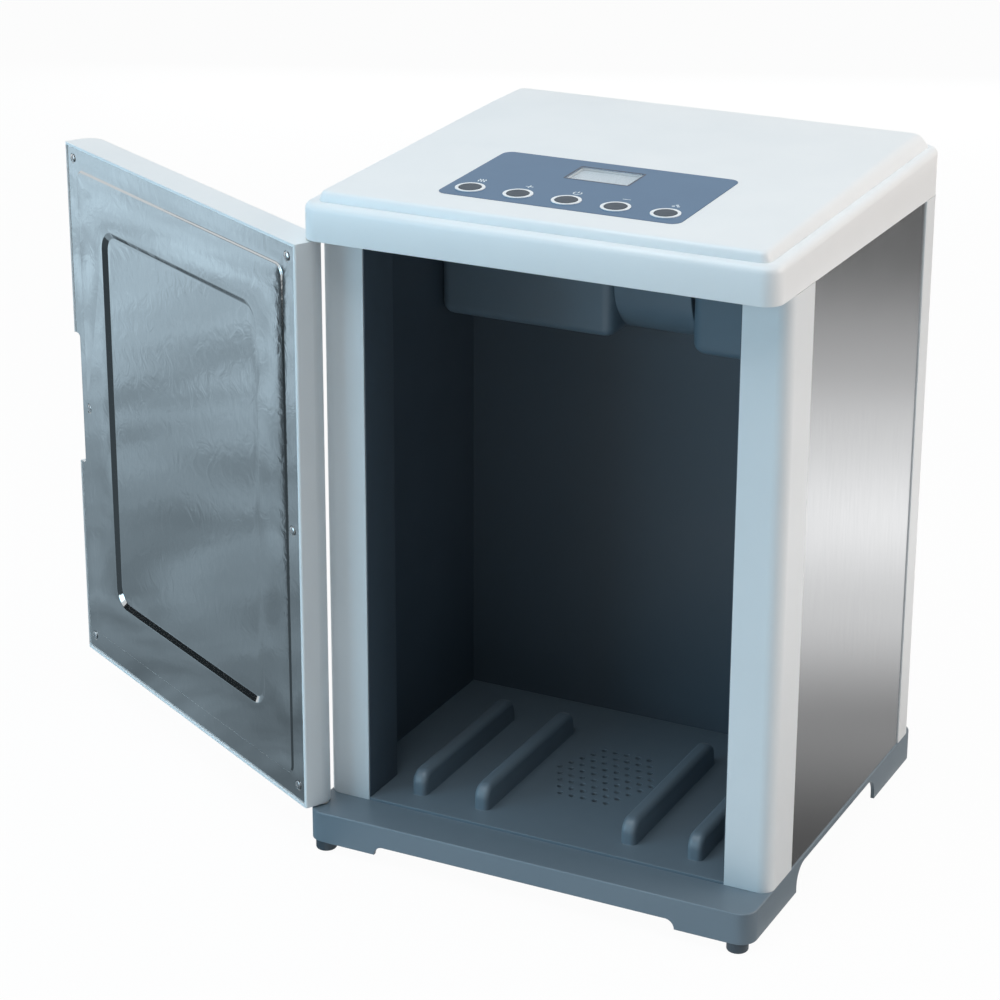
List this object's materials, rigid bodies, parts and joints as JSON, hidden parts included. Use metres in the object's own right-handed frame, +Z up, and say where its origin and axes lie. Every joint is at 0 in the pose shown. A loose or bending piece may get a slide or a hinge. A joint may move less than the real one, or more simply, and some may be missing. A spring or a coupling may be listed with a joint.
{
  "type": "boot dryer",
  "caption": "Cabinet dryer for boots and shoes: side-hung door, ribbed floor with an air grille, warm-air blower and ion module above, control panel on top.",
  "frame": {"origin": "centre of the four feet, on the floor", "axes": "+Z up, -Y the front where the door closes, +X to the right seen from the front"},
  "size_m": [0.6133, 0.3176, 0.4751],
  "materials": {
    "foot_rubber": "moulded rubber, matte",
    "base_plastic": "moulded ABS, satin",
    "white_plastic": "moulded ABS, satin gloss",
    "brushed_steel": "brushed stainless",
    "polished_steel": "bright rolled stainless",
    "dark_liner": "dark gloss enamel",
    "housing_plastic": "moulded, satin",
    "overlay_film": "printed film, satin",
    "ring_white": "moulded, satin",
    "display_glass": "clear acrylic",
    "display_face": "liquid crystal, unlit",
    "circuit_board": "solder mask",
    "switch_black": "moulded",
    "button_rubber": "silicone, matte",
    "screw_steel": "zinc plated",
    "motor_steel": "plated",
    "heater_aluminium": "plain",
    "mica": "mica board",
    "nylon": "moulded nylon",
    "magnet_ferrite": "ferrite",
    "rear_plastic": "moulded, satin"
  },
  "bodies": {
    "root": {"base_tray": "base_plastic", "board_components": "switch_black", "board_standoffs": "nylon", "button_rings": "ring_white", "button_switches": "switch_black", "control_board": "circuit_board", "control_board_screws": "screw_steel", "control_overlay": "overlay_film", "cord_gland": "switch_black", "display_module": "display_face", "display_window": "display_glass", "door_magnet": "magnet_ferrite", "fan_bearing": "nylon", "fan_motor": "motor_steel", "fan_scroll": "housing_plastic", "floor_panel": "base_plastic", "foot_front_left": "foot_rubber", "foot_front_right": "foot_rubber", "foot_rear_left": "foot_rubber", "foot_rear_right": "foot_rubber", "heater_element": "heater_aluminium", "heater_frame": "mica", "heater_housing": "housing_plastic", "hinge_pin_bottom": "screw_steel", "hinge_pin_top": "screw_steel", "ion_housing": "housing_plastic", "ion_module": "switch_black", "left_front_post": "white_plastic", "left_inner_liner": "dark_liner", "left_rear_post": "white_plastic", "left_side_panel": "brushed_steel", "lid": "white_plastic", "motor_bracket": "motor_steel", "power_board": "circuit_board", "power_board_screws": "screw_steel", "rear_cover": "rear_plastic", "rear_cover_screws": "screw_steel", "rear_inner_liner": "dark_liner", "right_front_post": "white_plastic", "right_inner_liner": "dark_liner", "right_rear_post": "white_plastic", "right_side_panel": "brushed_steel", "thermal_cutout": "motor_steel", "top_deck": "dark_liner"},
    "door": {"door_shell": "white_plastic", "door_inner_panel": "polished_steel", "door_panel_screws": "screw_steel", "door_bush_top": "nylon", "door_bush_bottom": "nylon"},
    "blower": {"blower_wheel": "switch_black", "blower_shaft": "screw_steel"},
    "button_drying": {"button_drying": "button_rubber"},
    "button_time_up": {"button_time_up": "button_rubber"},
    "button_power": {"button_power": "button_rubber"},
    "button_time_down": {"button_time_down": "button_rubber"},
    "button_ion": {"button_ion": "button_rubber"}
  },
  "joints": [
    {"name": "door_hinge", "type": "hinge", "parent": "root", "child": "door", "pos_m": [-0.159, -0.14325, 0.2], "axis": [0, 0, 1], "range_deg": [-11, 208.85]},
    {"name": "blower_spin", "type": "hinge", "parent": "root", "child": "blower", "pos_m": [0.0065, 0.052, 0.3875], "axis": [1, 0, 0], "continuous": true},
    {"name": "button_drying_press", "type": "slide", "parent": "root", "child": "button_drying", "axis": [0, 0.0388, -0.9992], "range_m": [0, 0.0008], "stiffness_N_per_m": 250},
    {"name": "button_time_up_press", "type": "slide", "parent": "root", "child": "button_time_up", "axis": [0, 0.0388, -0.9992], "range_m": [0, 0.0008], "stiffness_N_per_m": 250},
    {"name": "button_power_press", "type": "slide", "parent": "root", "child": "button_power", "axis": [0, 0.0388, -0.9992], "range_m": [0, 0.0008], "stiffness_N_per_m": 250},
    {"name": "button_time_down_press", "type": "slide", "parent": "root", "child": "button_time_down", "axis": [0, 0.0388, -0.9992], "range_m": [0, 0.0008], "stiffness_N_per_m": 250},
    {"name": "button_ion_press", "type": "slide", "parent": "root", "child": "button_ion", "axis": [0, 0.0388, -0.9992], "range_m": [0, 0.0008], "stiffness_N_per_m": 250}
  ]
}
